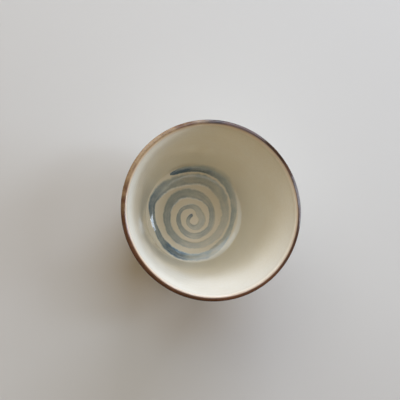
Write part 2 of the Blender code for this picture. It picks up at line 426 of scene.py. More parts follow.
def clay_corners(shape):
    """The clay's outline by its corners (radius, height, rounding), from the middle of the inside
    floor up the wall, over the lip, down outside, round the foot and in to the middle of the well."""
    foot_outside = shape.foot_radius - shape.foot_taper
    foot_inside = foot_outside - shape.ring_width
    lip_inside = shape.lip_radius - shape.lip_width
    wall_lean = (lip_inside - shape.floor_radius) / (shape.lip_height - shape.floor_height)
    run = (shape.floor_radius - shape.rise_radius) / (1 - wall_lean * math.tan(shape.rise_slope))
    rise_top = shape.floor_height + run * math.tan(shape.rise_slope)
    return [
        (0.0, shape.floor_height, 0.0),
        (shape.rise_radius, shape.floor_height, FLOOR_BEND_ROUNDING),
        (shape.rise_radius + run, rise_top, FLOOR_EDGE_ROUNDING),
        (lip_inside, shape.lip_height, LIP_ROUNDING),
        (shape.lip_radius, shape.lip_height, LIP_ROUNDING),
        (shape.hip_radius, shape.hip_height, HIP_ROUNDING),
        (shape.foot_radius, shape.foot_height, SHOULDER_ROUNDING),
        (foot_outside, 0.0, FOOT_ROUNDING),
        (foot_inside, 0.0, FOOT_ROUNDING),
        (foot_inside - shape.well_taper, shape.well_height, WELL_ROUNDING),
        (0.0, shape.well_height, 0.0),
    ]


# Where the corners at which the coats begin and end come in that outline
FLOOR_EDGE = 2
LIP_INSIDE = 3
HIP = 5
FOOT_OUTSIDE = 7
FOOT_INSIDE = 8


def raised(corners, distance):
    """The outline moved this far off the clay, its roundings with it."""
    places = [Vector((radius, height)) for radius, height, _ in corners]
    moved = []
    for index, place in enumerate(places):
        before = places[max(index - 1, 0)]
        after = places[min(index + 1, len(places) - 1)]
        legs = [leg.normalized() for leg in (place - before, after - place) if leg.length > 0]
        normals = [Vector((-leg.y, leg.x)) for leg in legs]
        middle = sum(normals, Vector((0.0, 0.0))).normalized()
        spot = place + middle * (distance / middle.dot(normals[0]))
        hollow = legs[0].cross(legs[-1]) > 0
        rounding = corners[index][2]
        if rounding > 0:
            rounding += -distance if hollow else distance
        moved.append((spot.x, spot.y, rounding))
    return moved


def pick_vertices(chosen):
    """Selects, in edit mode, the vertices whose place passes the test."""
    bpy.ops.mesh.select_mode(type="VERT")
    bpy.ops.mesh.select_all(action="DESELECT")
    mesh = bpy.context.object.data
    wire = bmesh.from_edit_mesh(mesh)
    for vertex in wire.verts:
        vertex.select = chosen(vertex.co)
    wire.select_flush_mode()
    bmesh.update_edit_mesh(mesh)


def draw_outline(name, corners):
    """Extrudes one point from corner to corner and rounds the corners, leaving edit mode on."""
    bpy.ops.object.select_all(action="DESELECT")
    bpy.ops.mesh.primitive_plane_add(size=MM, location=(0, 0, 0), enter_editmode=True)
    bpy.context.object.name = name
    bpy.context.object.data.name = name
    bpy.ops.mesh.select_mode(type="VERT")
    bpy.ops.mesh.select_all(action="SELECT")
    bpy.ops.mesh.merge(type="CENTER")
    bpy.ops.mesh.select_all(action="SELECT")
    places = [Vector((radius, 0.0, height)) for radius, height, _ in corners]
    bpy.ops.transform.translate(value=places[0])
    for before, after in zip(places, places[1:]):
        bpy.ops.mesh.extrude_region_move(TRANSFORM_OT_translate={"value": after - before})
    for index in range(1, len(corners) - 1):
        rounding = corners[index][2]
        if rounding <= 0:
            continue
        here = places[index]
        half = (places[index - 1] - here).angle(places[index + 1] - here) / 2
        pick_vertices(lambda place: (place - here).length < MERGE_REACH)
        bpy.ops.mesh.bevel(
            offset=rounding / math.tan(half), segments=ROUNDING_STEPS, affect="VERTICES"
        )


def trim_outline(place, normal):
    """Cuts the outline by a plane and deletes what lies on the side the normal points to."""
    bpy.ops.mesh.select_all(action="SELECT")
    bpy.ops.mesh.bisect(plane_co=place, plane_no=normal, clear_outer=True, threshold=MERGE_REACH)


def divide_long_edges(limit):
    """Subdivides each edge of the outline that is longer than the limit."""
    mesh = bpy.context.object.data
    bpy.ops.mesh.select_mode(type="EDGE")
    while True:
        bpy.ops.mesh.select_all(action="DESELECT")
        wire = bmesh.from_edit_mesh(mesh)
        cuts = max(int(edge.calc_length() / limit) for edge in wire.edges)
        if cuts == 0:
            return
        for edge in wire.edges:
            if int(edge.calc_length() / limit) == cuts:
                edge.select_set(True)
        bmesh.update_edit_mesh(mesh)
        bpy.ops.mesh.subdivide(number_cuts=cuts)


def turn_outline(steps):
    """Spins the outline once round the cup's axis, closes the seam and leaves edit mode."""
    bpy.ops.mesh.select_all(action="SELECT")
    bpy.ops.mesh.spin(steps=steps, angle=2 * math.pi, center=(0, 0, 0), axis=(0, 0, 1))
    bpy.ops.mesh.select_all(action="SELECT")
    bpy.ops.mesh.remove_doubles(threshold=MERGE_REACH)
    bpy.ops.mesh.normals_make_consistent(inside=False)
    bpy.ops.object.mode_set(mode="OBJECT")
    return bpy.context.object


def face_towards(piece, probe):
    """Turns an open surface so that its nearest face looks at the probe."""
    nearest = min(piece.data.polygons, key=lambda face: (face.center - probe).length)
    if nearest.normal.dot(probe - nearest.center) < 0:
        bpy.ops.object.mode_set(mode="EDIT")
        bpy.ops.mesh.select_all(action="SELECT")
        bpy.ops.mesh.flip_normals()
        bpy.ops.object.mode_set(mode="OBJECT")


def thicken(piece, depth, share):
    """Grows an open surface outwards into a coat, as deep at each point as its share says."""
    group = piece.vertex_groups.new(name="depth")
    for vertex in piece.data.vertices:
        group.add([vertex.index], share(vertex.co), "REPLACE")
    coat = piece.modifiers.new("Coat", "SOLIDIFY")
    coat.thickness = depth
    coat.offset = 1.0
    coat.use_even_offset = True
    coat.vertex_group = group.name
    coat.thickness_vertex_group = 0.0
    bpy.ops.object.modifier_apply(modifier=coat.name)


def turn_coat(name, corners, cuts, longest_edge, steps, probe):
    """The surface of a coat: its outline drawn, cut by planes, turned, and facing the probe."""
    draw_outline(name, corners)
    for place, normal in cuts:
        trim_outline(place, normal)
    divide_long_edges(longest_edge)
    piece = turn_outline(steps)
    face_towards(piece, probe)
    return piece


def store_values(piece, name, values):
    """Keeps one value per vertex under this name, for the piece's material to read."""
    piece.data.attributes.new(name, "FLOAT", "POINT").data.foreach_set("value", values)


def rolled_edge(distance, reach):
    """The share of its depth that a coat has at this distance from its free edge."""
    along = min(max(distance / reach, 0.0), 1.0)
    return max(math.sqrt(1 - (1 - along) ** 2), EDGE_LEAST_SHARE)


def in_the_hollow(place, shape):
    """Whether a point of the perfect turning lies on the inside of the cup's wall or floor."""
    up = (place.z - shape.floor_height) / (shape.lip_height - shape.floor_height)
    if up < 0.0:
        return False
    inside = shape.floor_radius + (shape.lip_radius - shape.lip_width - shape.floor_radius) * up
    outside = shape.hip_radius + (shape.lip_radius - shape.hip_radius) * up
    return math.hypot(place.x, place.y) < (inside + outside) / 2


def thrown_by_hand(place, shape):
    """Where a point of the perfect turning goes on a cup thrown by hand. The outside only moves in
    and down, and the inside floor drifts off the axis."""
    lip_height = shape.lip_height
    drift = Vector((0.0, 0.0, 0.0))
    if in_the_hollow(place, shape):
        drift = FLOOR_DRIFT * min((lip_height - place.z) / (lip_height - shape.floor_height), 1.0)
    turn = math.atan2(place.y, place.x)
    rise = max(place.z / lip_height, 0.0)
    pull = MOUTH_PRESS * (0.5 + 0.5 * math.cos(2 * (turn - MOUTH_NARROW_TURN))) * rise
    ridge = place.z / RIDGE_PITCH - turn / (2 * math.pi)
    fade = min(max((place.z - RIDGES_FROM) / RIDGES_FADE_IN, 0.0), 1.0)
    fade *= min(max((lip_height - RIDGES_BELOW_LIP - place.z) / RIDGES_FADE_OUT, 0.0), 1.0)
    pull += RIDGE_DEPTH * (0.5 + 0.5 * math.sin(2 * math.pi * ridge)) * fade
    radius = math.hypot(place.x, place.y)
    if radius == 0.0:
        return place + drift
    shrink = 1 - pull / radius * min(radius / STEADY_RADIUS, 1.0)
    wave = 0.5 + 0.5 * math.sin(LIP_WAVES * turn + LIP_WAVE_START)
    droop = LIP_DROOP * wave * rise**LIP_DROOP_POWER
    return Vector((place.x * shrink, place.y * shrink, place.z - droop)) + drift


def finish_piece(piece, node, material, shape):
    """Gives a turned piece its hand-thrown run, smooth shading, material and place in the frame."""
    for vertex in piece.data.vertices:
        vertex.co = thrown_by_hand(vertex.co, shape)
    place_piece(piece, node, material)


def place_piece(piece, node, material):
    """Shades a piece, gives it its material and ties it to the frame in place of its node."""
    bpy.ops.object.shade_smooth_by_angle(angle=math.radians(SHARP_DEGREES))
    piece.data.materials.clear()
    piece.data.materials.append(material)
    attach(piece, "root")
    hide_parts(node)


def add_node(tree, kind, inputs=None, **settings):
    """A new node with its settings, its inputs set to values or linked to sockets."""
    node = tree.nodes.new(kind)
    for name, value in settings.items():
        setattr(node, name, value)
    for key, value in (inputs or {}).items():
        if isinstance(value, bpy.types.NodeSocket):
            tree.links.new(value, node.inputs[key])
        else:
            node.inputs[key].default_value = value
    return node


def calculate(tree, operation, first, second=0.0, third=0.0):
    """One sum on values or sockets."""
    node = add_node(tree, "ShaderNodeMath", {0: first, 1: second, 2: third}, operation=operation)
    return node.outputs[0]


def ranged(tree, value, low, high, to_low=0.0, to_high=1.0, smooth=True):
    """A value carried from one range to another, easing at both ends."""
    node = add_node(
        tree,
        "ShaderNodeMapRange",
        {0: value, 1: low, 2: high, 3: to_low, 4: to_high},
        interpolation_type="SMOOTHSTEP" if smooth else "LINEAR",
    )
    return node.outputs[0]


def mixed(tree, factor, first, second, blend="MIX"):
    """Two colours mixed by a factor."""
    node = add_node(
        tree,
        "ShaderNodeMix",
        {0: factor, 6: first, 7: second},
        data_type="RGBA",
        blend_type=blend,
    )
    return node.outputs[2]


def along_way(tree, vector, way):
    """How far a place lies along a way, as their dot product."""
    node = add_node(tree, "ShaderNodeVectorMath", {0: vector, 1: way}, operation="DOT_PRODUCT")
    return node.outputs[1]


def noise(tree, vector, scale, detail=2.0, roughness=0.5):
    """Cloudy noise from 0 to 1."""
    node = add_node(
        tree,
        "ShaderNodeTexNoise",
        {"Vector": vector, "Scale": scale, "Detail": detail, "Roughness": roughness},
    )
    return node.outputs[0]


def new_group(name, inputs, outputs):
    """A shader node group with named sockets: its tree, its inputs and its output node."""
    tree = bpy.data.node_groups.new(name, "ShaderNodeTree")
    for label, kind in inputs:
        tree.interface.new_socket(name=label, in_out="INPUT", socket_type=kind)
    for label, kind in outputs:
        tree.interface.new_socket(name=label, in_out="OUTPUT", socket_type=kind)
    given = tree.nodes.new("NodeGroupInput")
    result = tree.nodes.new("NodeGroupOutput")
    return tree, given.outputs, result.inputs


def kiln_mottle():
    """Group: the clouding, grain, flecks and orange peel that the kiln gives a surface."""
    name = "Kiln mottle"
    if name in bpy.data.node_groups:
        return bpy.data.node_groups[name]
    tree, given, result = new_group(
        name,
        [("Vector", "NodeSocketVector"), ("Cloud Scale", "NodeSocketFloat"),
         ("Grain Scale", "NodeSocketFloat"), ("Fleck Scale", "NodeSocketFloat")],
        [("Cloud", "NodeSocketFloat"), ("Grain", "NodeSocketFloat"),
         ("Fleck", "NodeSocketFloat"), ("Peel", "NodeSocketFloat")],
    )
    cloud = noise(tree, given["Vector"], given["Cloud Scale"], 3.0)
    tree.links.new(ranged(tree, cloud, 0.32, 0.68), result["Cloud"])
    grain = noise(tree, given["Vector"], given["Grain Scale"], 4.0, 0.6)
    tree.links.new(ranged(tree, grain, 0.3, 0.7), result["Grain"])
    cells = add_node(
        tree,
        "ShaderNodeTexVoronoi",
        {"Vector": given["Vector"], "Scale": given["Fleck Scale"], "Randomness": 1.0},
    )
    cell_colour = add_node(tree, "ShaderNodeSeparateColor", {0: cells.outputs["Color"]})
    size = ranged(tree, cell_colour.outputs[0], 0.88, 1.0, 0.0, 0.10, smooth=False)
    inside = calculate(tree, "SUBTRACT", size, cells.outputs["Distance"])
    tree.links.new(ranged(tree, inside, 0.0, 0.06), result["Fleck"])
    broad = noise(tree, given["Vector"], 420.0, 1.0)
    fine = noise(tree, given["Vector"], 1500.0, 2.0)
    tree.links.new(calculate(tree, "MULTIPLY_ADD", fine, 0.3, broad), result["Peel"])
    return tree


def add_mottle(tree, place, cloud_scale, grain_scale, fleck_scale):
    """The shared kiln mottle group, with its scales in cells per metre."""
    return add_node(
        tree,
        "ShaderNodeGroup",
        {"Vector": place, "Cloud Scale": cloud_scale, "Grain Scale": grain_scale,
         "Fleck Scale": fleck_scale},
        node_tree=kiln_mottle(),
    )


def milky_coat():
    """Group: the milky glaze's colour over the cup, with its thin and flecked places, painted shade
    lower down and in the middle of the floor, and a paler pool in the floor's corner that is a painted
    highlight on one side.
    """
    name = "Milky coat"
    if name in bpy.data.node_groups:
        return bpy.data.node_groups[name]
    tree, given, result = new_group(
        name,
        [("Vector", "NodeSocketVector"), ("Milk", "NodeSocketColor"), ("Thin", "NodeSocketColor"),
         ("Floor", "NodeSocketColor"), ("Pool", "NodeSocketColor"), ("Fleck", "NodeSocketColor")],
        [("Color", "NodeSocketColor"), ("Gloss", "NodeSocketFloat"), ("Peel", "NodeSocketFloat")],
    )
    mottle = add_mottle(
        tree, given["Vector"], cloud_scale=55.0, grain_scale=900.0, fleck_scale=170.0
    )
    place = add_node(tree, "ShaderNodeSeparateXYZ", {0: given["Vector"]})
    flat = add_node(tree, "ShaderNodeCombineXYZ", {0: place.outputs[0], 1: place.outputs[1]})
    radius = add_node(
        tree, "ShaderNodeVectorMath", {0: flat.outputs[0], 1: FLOOR_DRIFT}, operation="DISTANCE"
    ).outputs[1]
    uneven = noise(tree, given["Vector"], 130.0, 2.0)
    corner = calculate(tree, "MULTIPLY_ADD", uneven, POOL_UNEVENNESS, radius)
    pool_in = ranged(tree, corner, *POOL_STARTS)
    pool_out = ranged(tree, corner, *POOL_ENDS, 1.0, 0.0)
    low = ranged(tree, place.outputs[2], *POOL_TOP, 1.0, 0.0)
    above = ranged(tree, place.outputs[2], *ABOVE_FLOOR)
    pool = calculate(tree, "MULTIPLY", calculate(tree, "MULTIPLY", pool_in, pool_out), low)
    pool = calculate(tree, "MULTIPLY", pool, above)
    # Painted shade: the glaze turns towards the thin, warmer colour lower down the cup
    deep = ranged(tree, place.outputs[2], *PAINTED_SHADE_HEIGHTS, 0.0, 0.75, smooth=False)
    thin = calculate(tree, "MULTIPLY_ADD", mottle.outputs["Cloud"], 0.25, deep)
    body = mixed(tree, thin, given["Milk"], given["Thin"])
    grain = ranged(tree, mottle.outputs["Grain"], 0.0, 1.0, 0.0, 0.25)
    body = mixed(tree, grain, body, given["Thin"])
    # Painted shade in the middle of the inside floor
    middle = calculate(tree, "MULTIPLY", ranged(tree, radius, *FLOOR_SHADE_FADE), above)
    body = mixed(tree, middle, body, given["Floor"])
    # Painted highlight: the pool shows only on the side of the floor that the light falls on
    pool_highlight_side = along_way(tree, given["Vector"], POOL_HIGHLIGHT_SIDE)
    highlight_shown = ranged(tree, pool_highlight_side, 0.0, POOL_SIDE_REACH, 0.0, POOL_HIGHLIGHT_SHARE)
    pool = calculate(tree, "MULTIPLY", pool, highlight_shown)
    body = mixed(tree, pool, body, given["Pool"])
    fleck = calculate(tree, "MULTIPLY", mottle.outputs["Fleck"], 0.25)
    body = mixed(tree, fleck, body, given["Fleck"])
    tree.links.new(body, result["Color"])
    tree.links.new(ranged(tree, mottle.outputs["Cloud"], 0.0, 1.0, *GLAZE_GLOSS), result["Gloss"])
    tree.links.new(mottle.outputs["Peel"], result["Peel"])
    return tree


def new_material(name):
    """A material with its Principled shader, its tree and the object's own coordinates."""
    material = bpy.data.materials.new(name)
    material.use_nodes = True
    tree = material.node_tree
    shader = tree.nodes["Principled BSDF"]
    place = add_node(tree, "ShaderNodeTexCoord").outputs["Object"]
    return material, tree, shader, place


def set_bump(tree, shader, height, distance):
    """Gives the shader a bump of this height map."""
    bump = add_node(
        tree,
        "ShaderNodeBump",
        {"Strength": 1.0, "Distance": distance, "Height": height},
    )
    tree.links.new(bump.outputs[0], shader.inputs["Normal"])


def add_milky_coat(tree, place, finish):
    """The shared milky glaze group, set to this finish's colours."""
    return add_node(
        tree,
        "ShaderNodeGroup",
        {"Vector": place, "Milk": finish.milk, "Thin": finish.milk_thin_and_shade,
         "Floor": finish.milk_floor_shade, "Pool": finish.milk_pool_and_highlight, "Fleck": finish.fleck},
        node_tree=milky_coat(),
    )


def milk_glaze_material(finish):
    """The milky glaze inside, outside and under the foot."""
    name = "cup_milk_glaze"
    if name in bpy.data.materials:
        return bpy.data.materials[name]
    material, tree, shader, place = new_material(name)
    coat = add_milky_coat(tree, place, finish)
    tree.links.new(coat.outputs["Color"], shader.inputs["Base Color"])
    tree.links.new(coat.outputs["Gloss"], shader.inputs["Roughness"])
    set_bump(tree, shader, coat.outputs["Peel"], GLAZE_PEEL)
    return material


def iron_glaze_material(finish, rim_low):
    """The iron band: dark where it lies thick, brown and gold where it breaks thin, with a painted
    golden highlight on one side of the lip and painted dark shade on another.
    """
    material, tree, shader, place = new_material("cup_iron_glaze")
    mottle = add_mottle(tree, place, cloud_scale=90.0, grain_scale=1100.0, fleck_scale=300.0)
    spot = add_node(tree, "ShaderNodeSeparateXYZ", {0: place})
    # Painted highlight on the golden side of the lip and painted shade on its dark side
    gold_highlight_side = along_way(tree, place, GOLD_HIGHLIGHT_SIDE)
    dark_shade_side = along_way(tree, place, DARK_SHADE_SIDE)
    cloud = mottle.outputs["Cloud"]
    unevenness = ranged(tree, cloud, 0.0, 1.0, -IRON_UNEVENNESS, IRON_UNEVENNESS, smooth=False)
    gold = ranged(tree, calculate(tree, "ADD", gold_highlight_side, unevenness), *GOLD_HIGHLIGHT_STARTS)
    dark = ranged(tree, calculate(tree, "ADD", dark_shade_side, unevenness), *DARK_SHADE_STARTS)
    dark = calculate(tree, "MULTIPLY_ADD", cloud, 0.35, calculate(tree, "MULTIPLY", dark, 0.65))
    body = mixed(tree, dark, finish.iron_brown, finish.iron_dark_and_shade)
    thin = ranged(tree, spot.outputs[2], rim_low, rim_low + IRON_THIN_HEIGHT, 0.55, 0.0)
    body = mixed(tree, calculate(tree, "MAXIMUM", gold, thin), body, finish.iron_gold_and_highlight)
    grain = mottle.outputs["Grain"]
    body = mixed(tree, ranged(tree, grain, 0.4, 1.0, 0.0, 0.3), body, finish.iron_dark_and_shade)
    cover = add_node(tree, "ShaderNodeAttribute", attribute_name="cover").outputs["Fac"]
    milk = mixed(tree, 0.35, finish.milk, finish.milk_thin_and_shade)
    edge = mixed(tree, ranged(tree, cover, *IRON_EDGE_COVER), milk, finish.iron_edge_and_shade)
    body = mixed(tree, ranged(tree, cover, *IRON_BODY_COVER), edge, body)
    tree.links.new(body, shader.inputs["Base Color"])
    tree.links.new(ranged(tree, grain, 0.0, 1.0, *IRON_GLOSS), shader.inputs["Roughness"])
    set_bump(tree, shader, mottle.outputs["Peel"], IRON_PEEL)
    return material


def stoneware_material(finish):
    """The bare stoneware of the foot: toasted near the glaze, scored by the trimming tool."""
    material, tree, shader, place = new_material("cup_stoneware")
    mottle = add_mottle(tree, place, cloud_scale=120.0, grain_scale=1600.0, fleck_scale=420.0)
    spot = add_node(tree, "ShaderNodeSeparateXYZ", {0: place})
    toast = ranged(tree, spot.outputs[2], *TOAST_HEIGHTS, 0.1, 0.75)
    toast = calculate(tree, "MULTIPLY_ADD", mottle.outputs["Cloud"], 0.25, toast)
    body = mixed(tree, toast, finish.clay, finish.clay_scorch)
    grain = mottle.outputs["Grain"]
    body = mixed(tree, ranged(tree, grain, 0.2, 1.0, 0.0, 0.35), body, finish.clay_scorch)
    fleck = calculate(tree, "MULTIPLY", mottle.outputs["Fleck"], 0.7)
    body = mixed(tree, fleck, body, finish.iron_dark_and_shade)
    tree.links.new(body, shader.inputs["Base Color"])
    tree.links.new(ranged(tree, grain, 0.0, 1.0, *CLAY_ROUGHNESS), shader.inputs["Roughness"])
    lines = add_node(
        tree,
        "ShaderNodeTexWave",
        {"Vector": place, "Scale": 420.0, "Distortion": 0.6, "Detail": 2.0},
        wave_type="RINGS",
        rings_direction="Z",
    ).outputs[1]
    height = calculate(tree, "MULTIPLY_ADD", grain, 0.8, lines)
    set_bump(tree, shader, height, CLAY_SCORING)
    return material


def stroke_noise(tree, travelled, along_scale, across, across_scale):
    """Noise drawn out along the stroke: cells per millimetre along it, and across its width."""
    spot = add_node(
        tree,
        "ShaderNodeCombineXYZ",
        {
            0: calculate(tree, "MULTIPLY", travelled, along_scale),
            1: calculate(tree, "MULTIPLY", across, across_scale),
        },
    ).outputs[0]
    return noise(tree, spot, 1.0, 2.0, 0.5)


def disturbed(tree, value, cloud, share):
    """A value moved up and down by this share of a noise."""
    return calculate(tree, "MULTIPLY_ADD", calculate(tree, "SUBTRACT", cloud, 0.5), share, value)


def brushed_material(finish, stroke_length):
    """The brushed pigment under the glaze: streaked along the stroke, gathered at its edges, soft
    where it ends, and the glaze's own colour where there is none."""
    material, tree, shader, place = new_material("cup_brushed_blue")
    coat = add_milky_coat(tree, place, finish)
    stroke = add_node(tree, "ShaderNodeUVMap", uv_map="UVMap").outputs[0]
    along, across, _ = add_node(tree, "ShaderNodeSeparateXYZ", {0: stroke}).outputs
    load = add_node(tree, "ShaderNodeAttribute", attribute_name="load").outputs["Fac"]
    wash = add_node(tree, "ShaderNodeAttribute", attribute_name="wash").outputs["Fac"]
    travelled = calculate(tree, "MULTIPLY", along, stroke_length / MM)
    hairs = stroke_noise(tree, travelled, 0.16, across, 4.0)
    drag = stroke_noise(tree, travelled, 0.22, across, 0.8)
    ragged = stroke_noise(tree, travelled, 0.6, across, 1.0)
    side = calculate(tree, "ABSOLUTE", calculate(tree, "MULTIPLY_ADD", across, 2.0, -1.0))
    side = disturbed(tree, side, drag, 0.5)
    side = disturbed(tree, side, ragged, 0.3)
    feather = ranged(tree, side, *FEATHERED, 1.0, 0.0)
    gathered = ranged(tree, side, *GATHERED)
    wall_side = ranged(tree, across, *WASHED_WIDTH)
    washed_out = calculate(tree, "MULTIPLY", wall_side, wash)
    washed_out = calculate(tree, "MULTIPLY", washed_out, WASHED_SHARE)
    kept = calculate(tree, "SUBTRACT", 1.0, washed_out)
    grains = noise(tree, place, 700.0, 4.0, 0.65)
    blots = noise(tree, place, 240.0, 2.0)
    strength = calculate(tree, "MULTIPLY_ADD", gathered, 0.25, 0.78)
    strength = disturbed(tree, strength, hairs, 0.8)
    strength = disturbed(tree, strength, blots, 0.7)
    strength = disturbed(tree, strength, grains, 0.4)
    strength = calculate(tree, "MULTIPLY", calculate(tree, "MAXIMUM", strength, 0.15), kept)
    pigment = calculate(tree, "MULTIPLY", calculate(tree, "MULTIPLY", strength, load), feather)
    thin = ranged(tree, pigment, 0.0, THIN_PIGMENT, smooth=False)
    full = ranged(tree, pigment, THIN_PIGMENT, 1.0, smooth=False)
    tint = mixed(tree, thin, NO_TINT, finish.pigment_thin)
    tint = mixed(tree, full, tint, finish.pigment_full)
    body = mixed(tree, 1.0, coat.outputs["Color"], tint, blend="MULTIPLY")
    tree.links.new(body, shader.inputs["Base Color"])
    tree.links.new(coat.outputs["Gloss"], shader.inputs["Roughness"])
    height = calculate(tree, "MULTIPLY_ADD", pigment, 0.6, coat.outputs["Peel"])
    set_bump(tree, shader, height, GLAZE_PEEL)
    return material


def eased(stations, column, degrees):
    """A column of the stations at this turn, on a smooth curve through them."""
    last = len(stations) - 2
    index = max(i for i in range(last + 1) if stations[i][0] <= degrees or i == 0)
    start, end = stations[index], stations[index + 1]
    span = end[0] - start[0]
    before = stations[max(index - 1, 0)]
    after = stations[min(index + 2, last + 1)]
    slope_in = (end[column] - before[column]) / (end[0] - before[0]) * span
    slope_out = (after[column] - start[column]) / (after[0] - start[0]) * span
    t = (degrees - start[0]) / span
    return (
        (2 * t**3 - 3 * t**2 + 1) * start[column]
        + (t**3 - 2 * t**2 + t) * slope_in
        + (3 * t**2 - 2 * t**3) * end[column]
        + (t**3 - t**2) * slope_out
    )


def brush_path(columns):
    """The stroke at even steps along its length: places, ways to the left, half widths, loads and
    washes, with the whole length."""
    first, last = BRUSH_STATIONS[0][0], BRUSH_STATIONS[-1][0]
    count = int((last - first) / PATH_STEP_DEGREES)
    samples = []
    travelled = 0.0
    for step in range(count + 1):
        degrees = first + (last - first) * step / count
        turn = math.radians(degrees)
        place = eased(BRUSH_STATIONS, REACH, degrees) * MM * Vector((math.cos(turn), math.sin(turn)))
        if samples:
            travelled += (place - samples[-1][1]).length
        half = eased(BRUSH_STATIONS, WIDTH, degrees) * MM / 2
        load = eased(BRUSH_STATIONS, LOAD, degrees)
        wash = eased(BRUSH_STATIONS, WASH, degrees)
        samples.append((travelled, place, half, load, wash))
    path = []
    index = 0
    for column in range(columns + 1):
        distance = travelled * column / columns
        while index < count - 1 and samples[index + 1][0] < distance:
            index += 1
        start, end = samples[index], samples[index + 1]
        share = (distance - start[0]) / (end[0] - start[0])
        heading = end[1] - start[1]
        left = Vector((-heading.y, heading.x)).normalized()
        half, load, wash = (low + (high - low) * share for low, high in zip(start[2:], end[2:]))
        path.append((start[1].lerp(end[1], share), left, half, load, wash))
    return path, travelled


class SOBACHOKO_OT_clay_body(bpy.types.Operator):
    """Throw and trim the stoneware body with its foot ring"""

    bl_idname = "soba_choko.clay_body"
    bl_label = "Throw the clay body"

    def execute(self, context):
        shape = context.scene.soba_choko_shape
        draw_outline("cup_clay", clay_corners(shape))
        divide_long_edges(PROFILE_EDGE)
        piece = turn_outline(shape.turn_steps)
        material = stoneware_material(context.scene.soba_choko_finish)
        finish_piece(piece, "clay_body", material, shape)
        return {"FINISHED"}


class SOBACHOKO_OT_inner_glaze(bpy.types.Operator):
    """Pour the milky glaze over the inside floor and wall, up to the crown of the lip"""

    bl_idname = "soba_choko.inner_glaze"
    bl_label = "Glaze the inside"

    def execute(self, context):
        shape = context.scene.soba_choko_shape
        corners = raised(clay_corners(shape), SEAT_LIFT)[: HIP + 1]
        crown = shape.lip_radius - shape.lip_width / 2
        cuts = [((crown, 0, 0), (1, 0, 0))]
        probe = Vector((0.0, 0.0, 2 * shape.floor_height))
        piece = turn_coat("cup_inner_glaze", corners, cuts, PROFILE_EDGE, shape.turn_steps, probe)
        thicken(piece, shape.glaze_depth, lambda place: 1.0)
        material = milk_glaze_material(context.scene.soba_choko_finish)
        finish_piece(piece, "inner_glaze", material, shape)
        return {"FINISHED"}


class SOBACHOKO_OT_outer_glaze(bpy.types.Operator):
    """Dip the outside wall in the milky glaze, down to a line above the foot"""

    bl_idname = "soba_choko.outer_glaze"
    bl_label = "Glaze the outside"

    def execute(self, context):
        shape = context.scene.soba_choko_shape
        corners = raised(clay_corners(shape), SEAT_LIFT)[LIP_INSIDE : FOOT_OUTSIDE + 1]
        crown = shape.lip_radius - shape.lip_width / 2
        glaze_line = OUTER_LOW.z
        cuts = [((0, 0, glaze_line), (0, 0, -1)), ((crown, 0, 0), (-1, 0, 0))]
        probe = Vector((3 * shape.lip_radius, 0.0, shape.lip_height / 2))
        piece = turn_coat("cup_outer_glaze", corners, cuts, PROFILE_EDGE, shape.turn_steps, probe)
        thicken(
            piece, shape.glaze_depth, lambda place: rolled_edge(place.z - glaze_line, GLAZE_EDGE_ROLL)
        )
        material = milk_glaze_material(context.scene.soba_choko_finish)
        finish_piece(piece, "outer_glaze", material, shape)
        return {"FINISHED"}


class SOBACHOKO_OT_foot_well_glaze(bpy.types.Operator):
    """Pour the milky glaze into the well under the foot"""

    bl_idname = "soba_choko.foot_well_glaze"
    bl_label = "Glaze the foot's well"

    def execute(self, context):
        shape = context.scene.soba_choko_shape
        corners = raised(clay_corners(shape), SEAT_LIFT)[FOOT_INSIDE:]
        glaze_line = WELL_LOW.z
        cuts = [((0, 0, glaze_line), (0, 0, -1))]
        probe = Vector((0.0, 0.0, -shape.lip_height))
        piece = turn_coat("cup_foot_well_glaze", corners, cuts, PROFILE_EDGE, shape.turn_steps, probe)
        thicken(
            piece, shape.glaze_depth, lambda place: rolled_edge(place.z - glaze_line, GLAZE_EDGE_ROLL)
        )
        material = milk_glaze_material(context.scene.soba_choko_finish)
        finish_piece(piece, "foot_well_glaze", material, shape)
        return {"FINISHED"}


class SOBACHOKO_OT_iron_rim_band(bpy.types.Operator):
    """Brush the iron band over the lip"""

    bl_idname = "soba_choko.iron_rim_band"
    bl_label = "Band the lip with iron"

    def execute(self, context):
        shape = context.scene.soba_choko_shape
        corners = raised(clay_corners(shape), shape.glaze_depth)[FLOOR_EDGE : HIP + 1]
        cuts = [((0, 0, RIM_LOW.z), (0, 0, -1))]
        probe = Vector((shape.lip_radius, 0.0, 3 * shape.lip_height))
        piece = turn_coat("cup_iron_rim_band", corners, cuts, IRON_PROFILE_EDGE, shape.turn_steps, probe)
        thicken(
            piece, shape.iron_depth, lambda place: rolled_edge(place.z - RIM_LOW.z, IRON_EDGE_ROLL)
        )
        covers = []
        for vertex in piece.data.vertices:
            turn = math.atan2(vertex.co.y, vertex.co.x)
            # Painted shade: the band reaches further in on the lit side of the lip
            dip = shape.iron_shade_dip * math.cos(turn - shape.iron_dip_turn)
            past_inner_edge = math.hypot(vertex.co.x, vertex.co.y) - shape.iron_inner_radius + dip
            above_lower_edge = vertex.co.z - RIM_LOW.z
            cover = min(past_inner_edge / IRON_FADE_INSIDE, above_lower_edge / IRON_FADE_OUTSIDE)
            covers.append(cover)
        store_values(piece, "cover", covers)
        material = iron_glaze_material(context.scene.soba_choko_finish, RIM_LOW.z)
        finish_piece(piece, "iron_rim_band", material, shape)
        return {"FINISHED"}


